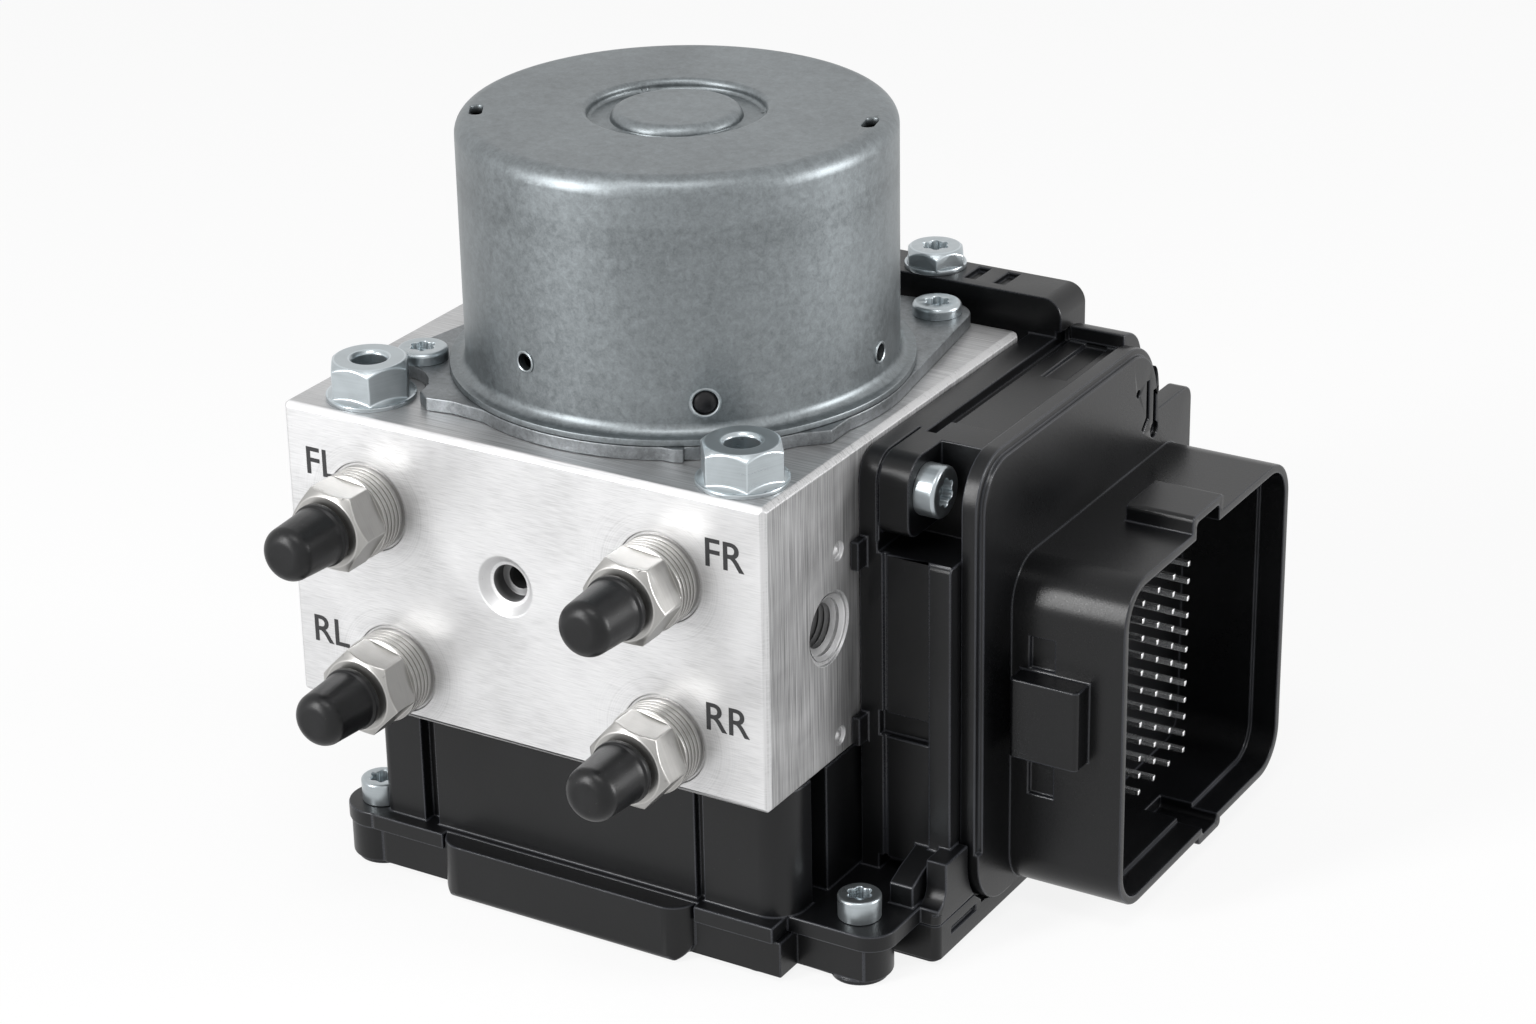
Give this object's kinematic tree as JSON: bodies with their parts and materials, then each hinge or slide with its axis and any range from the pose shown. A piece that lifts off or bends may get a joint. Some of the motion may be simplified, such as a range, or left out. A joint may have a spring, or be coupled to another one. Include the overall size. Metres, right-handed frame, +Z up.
{
  "type": "abs brake module",
  "caption": "Anti-lock brake unit: milled valve block with pipe fittings and rubber caps, round pump motor on top, black electronics housing with a large plug socket.",
  "frame": {"origin": "on the ground under the motor's axis, at the underside of the bottom cover", "axes": "+Z up along the motor's axis, -Y towards the brake pipe fittings, +X towards the plug connector"},
  "size_m": [0.1402, 0.1408, 0.139],
  "materials": {
    "milled_aluminium": "milled, fine tool marks, bright chamfers",
    "zinc_can": "drawn sheet, satin zinc",
    "zinc_plate": "stamped sheet, satin zinc",
    "nickel": "turned, satin nickel",
    "zinc_fastener": "bright zinc",
    "cap_rubber": "semi-matte",
    "housing_plastic": "fine grain, satin",
    "seal_rubber": "matte",
    "tinned_pin": "bright tin",
    "board": "lacquered",
    "chip": "matte",
    "moulding": "matte",
    "copper": "enamelled wire or bare copper",
    "carbon": "matte graphite",
    "magnet": "matte ferrite",
    "steel": "ground",
    "brass": "turned"
  },
  "bodies": {
    "base": {"valve_block": "milled_aluminium", "motor_can": "zinc_can", "motor_flange": "zinc_plate", "motor_magnets": "magnet", "brush_holder": "moulding", "motor_brushes": "carbon", "upper_bearing": "steel", "lower_bearing": "steel", "left_pump_spring": "steel", "right_pump_spring": "steel", "left_pump_sleeve": "steel", "right_pump_sleeve": "steel", "left_pump_plug": "steel", "right_pump_plug": "steel", "left_accumulator_spring": "steel", "right_accumulator_spring": "steel", "accumulator_caps": "steel", "valve_bodies": "brass", "solenoid_coils": "copper", "front_left_fitting": "nickel", "front_right_fitting": "nickel", "rear_left_fitting": "nickel", "rear_right_fitting": "nickel", "block_bolts": "zinc_fastener", "motor_screws": "zinc_fastener", "rear_bolt": "zinc_fastener", "housing": "housing_plastic", "bottom_cover": "housing_plastic", "connector_cover": "housing_plastic", "connector_cover_seal": "seal_rubber", "connector_pins": "tinned_pin", "circuit_board": "board", "board_components": "chip", "lead_frame": "moulding", "bottom_cover_seal": "seal_rubber", "bottom_cover_screws": "zinc_fastener", "side_screw": "zinc_fastener"},
    "rotor": {"motor_shaft": "steel", "armature_core": "steel", "armature_windings": "copper", "commutator": "copper"},
    "pump_ring": {"eccentric_ring": "steel"},
    "left_piston": {"left_pump_piston": "steel"},
    "left_ball": {"left_check_ball": "steel"},
    "left_accumulator": {"left_accumulator_piston": "steel"},
    "right_piston": {"right_pump_piston": "steel"},
    "right_ball": {"right_check_ball": "steel"},
    "right_accumulator": {"right_accumulator_piston": "steel"},
    "plunger_1": {"valve_plunger_1": "steel"},
    "plunger_2": {"valve_plunger_2": "steel"},
    "plunger_3": {"valve_plunger_3": "steel"},
    "plunger_4": {"valve_plunger_4": "steel"},
    "plunger_5": {"valve_plunger_5": "steel"},
    "plunger_6": {"valve_plunger_6": "steel"},
    "plunger_7": {"valve_plunger_7": "steel"},
    "plunger_8": {"valve_plunger_8": "steel"},
    "front_left_cap_body": {"front_left_cap": "cap_rubber"},
    "front_right_cap_body": {"front_right_cap": "cap_rubber"},
    "rear_left_cap_body": {"rear_left_cap": "cap_rubber"},
    "rear_right_cap_body": {"rear_right_cap": "cap_rubber"}
  },
  "joints": [
    {"name": "rotor_spin", "type": "hinge", "parent": "base", "child": "rotor", "pos_m": [0, 0, 0.1], "axis": [0, 0, 1], "continuous": true},
    {"name": "ring_spin", "type": "hinge", "parent": "rotor", "child": "pump_ring", "pos_m": [0, 0.0012, 0.071], "axis": [0, 0, 1], "continuous": true},
    {"name": "left_piston_stroke", "type": "slide", "parent": "base", "child": "left_piston", "axis": [-1, 0, 0], "range_m": [0, 0.0024], "stiffness_N_per_m": 100, "springref_m": -0.003, "deforming": ["left_pump_spring"]},
    {"name": "left_ball_lift", "type": "slide", "parent": "base", "child": "left_ball", "axis": [-1, 0, 0], "range_m": [0, 0.0006]},
    {"name": "left_accumulator_stroke", "type": "slide", "parent": "base", "child": "left_accumulator", "axis": [0, 0, -1], "range_m": [0, 0.0045], "stiffness_N_per_m": 200, "springref_m": -0.003, "deforming": ["left_accumulator_spring"]},
    {"name": "right_piston_stroke", "type": "slide", "parent": "base", "child": "right_piston", "axis": [1, 0, 0], "range_m": [0, 0.0024], "stiffness_N_per_m": 100, "springref_m": -0.003, "deforming": ["right_pump_spring"]},
    {"name": "right_ball_lift", "type": "slide", "parent": "base", "child": "right_ball", "axis": [1, 0, 0], "range_m": [0, 0.0006]},
    {"name": "right_accumulator_stroke", "type": "slide", "parent": "base", "child": "right_accumulator", "axis": [0, 0, -1], "range_m": [0, 0.0045], "stiffness_N_per_m": 200, "springref_m": -0.003, "deforming": ["right_accumulator_spring"]},
    {"name": "plunger_1_lift", "type": "slide", "parent": "base", "child": "plunger_1", "axis": [0, 0, 1], "range_m": [0, 0.0005]},
    {"name": "plunger_2_lift", "type": "slide", "parent": "base", "child": "plunger_2", "axis": [0, 0, 1], "range_m": [0, 0.0005]},
    {"name": "plunger_3_lift", "type": "slide", "parent": "base", "child": "plunger_3", "axis": [0, 0, 1], "range_m": [0, 0.0005]},
    {"name": "plunger_4_lift", "type": "slide", "parent": "base", "child": "plunger_4", "axis": [0, 0, 1], "range_m": [0, 0.0005]},
    {"name": "plunger_5_lift", "type": "slide", "parent": "base", "child": "plunger_5", "axis": [0, 0, 1], "range_m": [0, 0.0005]},
    {"name": "plunger_6_lift", "type": "slide", "parent": "base", "child": "plunger_6", "axis": [0, 0, 1], "range_m": [0, 0.0005]},
    {"name": "plunger_7_lift", "type": "slide", "parent": "base", "child": "plunger_7", "axis": [0, 0, 1], "range_m": [0, 0.0005]},
    {"name": "plunger_8_lift", "type": "slide", "parent": "base", "child": "plunger_8", "axis": [0, 0, 1], "range_m": [0, 0.0005]},
    {"name": "front_left_cap_pull", "type": "slide", "parent": "base", "child": "front_left_cap_body", "axis": [0, -1, 0], "range_m": [0, 0.012]},
    {"name": "front_right_cap_pull", "type": "slide", "parent": "base", "child": "front_right_cap_body", "axis": [0, -1, 0], "range_m": [0, 0.012]},
    {"name": "rear_left_cap_pull", "type": "slide", "parent": "base", "child": "rear_left_cap_body", "axis": [0, -1, 0], "range_m": [0, 0.012]},
    {"name": "rear_right_cap_pull", "type": "slide", "parent": "base", "child": "rear_right_cap_body", "axis": [0, -1, 0], "range_m": [0, 0.012]}
  ],
  "couplings": [
    {"joint": "ring_spin", "follows": "rotor_spin", "ratio": -1}
  ]
}
